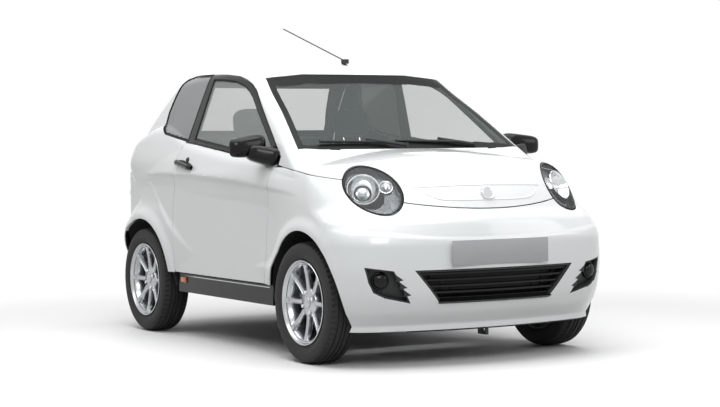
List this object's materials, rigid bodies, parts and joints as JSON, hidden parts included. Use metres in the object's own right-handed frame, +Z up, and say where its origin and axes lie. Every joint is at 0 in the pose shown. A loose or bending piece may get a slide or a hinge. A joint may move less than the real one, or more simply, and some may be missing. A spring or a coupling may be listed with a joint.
{
  "type": "two-seat city microcar",
  "caption": "White enclosed microcar with opening doors, bonnet and tailgate, steered front wheels and a hollow cabin with seats.",
  "frame": {"origin": "on the ground under the middle of the bounding box", "axes": "+X to the nose, +Y to the car's left, +Z up"},
  "size_m": [2.7578, 1.753, 1.6329],
  "materials": {
    "body_white": "glossy",
    "black_trim": "satin",
    "dark_plastic": "matte",
    "window_glass": "clear tinted",
    "clear_lens": "clear",
    "red_lens": "glossy",
    "frame_aluminium": "satin",
    "wheel_alloy": "painted silver",
    "tyre_rubber": "matte",
    "seat_cloth": "woven",
    "cast_iron": "matte",
    "plate_white": "glossy"
  },
  "bodies": {
    "body": {"underframe": "frame_aluminium", "floor_pan": "dark_plastic", "front_wings": "body_white", "quarter_panels": "body_white", "front_bumper": "body_white", "rear_bumper": "body_white", "roof_frame": "body_white", "windscreen": "window_glass", "quarter_glass": "window_glass", "headlamp_bowls": "black_trim", "headlamp_lenses": "clear_lens", "intake_grille": "black_trim", "tail_lamps": "red_lens", "sills": "black_trim", "number_plates": "plate_white", "wipers": "black_trim", "aerial": "black_trim", "dashboard": "dark_plastic", "seats": "seat_cloth", "engine_block": "cast_iron", "front_arms": "cast_iron", "rear_axle": "cast_iron", "exhaust": "cast_iron", "arch_liners": "black_trim"},
    "bonnet": {"bonnet": "body_white"},
    "tailgate": {"tailgate": "body_white", "tailgate_glass": "window_glass"},
    "steering_wheel": {"steering_wheel": "black_trim"},
    "door_left": {"door_left": "body_white", "door_glass_left": "window_glass", "mirror_left": "black_trim"},
    "knuckle_left": {"knuckle_left": "cast_iron"},
    "wheel_front_left": {"rim_front_left": "wheel_alloy", "tyre_front_left": "tyre_rubber"},
    "wheel_rear_left": {"rim_rear_left": "wheel_alloy", "tyre_rear_left": "tyre_rubber"},
    "door_right": {"door_right": "body_white", "door_glass_right": "window_glass", "mirror_right": "black_trim"},
    "knuckle_right": {"knuckle_right": "cast_iron"},
    "wheel_front_right": {"rim_front_right": "wheel_alloy", "tyre_front_right": "tyre_rubber"},
    "wheel_rear_right": {"rim_rear_right": "wheel_alloy", "tyre_rear_right": "tyre_rubber"}
  },
  "joints": [
    {"name": "door_left_hinge", "type": "hinge", "parent": "body", "child": "door_left", "pos_m": [0.556, 0.694, 0.76], "axis": [0, 0, -1], "range_deg": [0, 65]},
    {"name": "steer_left", "type": "hinge", "parent": "body", "child": "knuckle_left", "pos_m": [0.833, 0.59, 0.2], "axis": [0, 0, 1], "range_deg": [-32, 32]},
    {"name": "wheel_front_left_spin", "type": "hinge", "parent": "knuckle_left", "child": "wheel_front_left", "pos_m": [0.833, 0.652, 0.278], "axis": [0, 1, 0], "continuous": true},
    {"name": "wheel_rear_left_spin", "type": "hinge", "parent": "body", "child": "wheel_rear_left", "pos_m": [-0.963, 0.652, 0.278], "axis": [0, 1, 0], "continuous": true},
    {"name": "door_right_hinge", "type": "hinge", "parent": "body", "child": "door_right", "pos_m": [0.556, -0.694, 0.76], "axis": [0, 0, 1], "range_deg": [0, 65]},
    {"name": "steer_right", "type": "hinge", "parent": "body", "child": "knuckle_right", "pos_m": [0.833, -0.59, 0.2], "axis": [0, 0, 1], "range_deg": [-32, 32]},
    {"name": "wheel_front_right_spin", "type": "hinge", "parent": "knuckle_right", "child": "wheel_front_right", "pos_m": [0.833, -0.652, 0.278], "axis": [0, 1, 0], "continuous": true},
    {"name": "wheel_rear_right_spin", "type": "hinge", "parent": "body", "child": "wheel_rear_right", "pos_m": [-0.963, -0.652, 0.278], "axis": [0, 1, 0], "continuous": true},
    {"name": "bonnet_hinge", "type": "hinge", "parent": "body", "child": "bonnet", "pos_m": [0.6, 0, 0.97], "axis": [0, -1, 0], "range_deg": [0, 50]},
    {"name": "tailgate_hinge", "type": "hinge", "parent": "body", "child": "tailgate", "pos_m": [-0.776, 0, 1.404], "axis": [0, 1, 0], "range_deg": [0, 75]},
    {"name": "steering_wheel_turn", "type": "hinge", "parent": "body", "child": "steering_wheel", "pos_m": [0.122, 0.3, 0.812], "axis": [-0.9136, 0, 0.4067], "range_deg": [-448, 448]}
  ],
  "couplings": [
    {"joint": "steer_left", "follows": "steer_right", "ratio": 1},
    {"joint": "steering_wheel_turn", "follows": "steer_right", "ratio": 14}
  ]
}
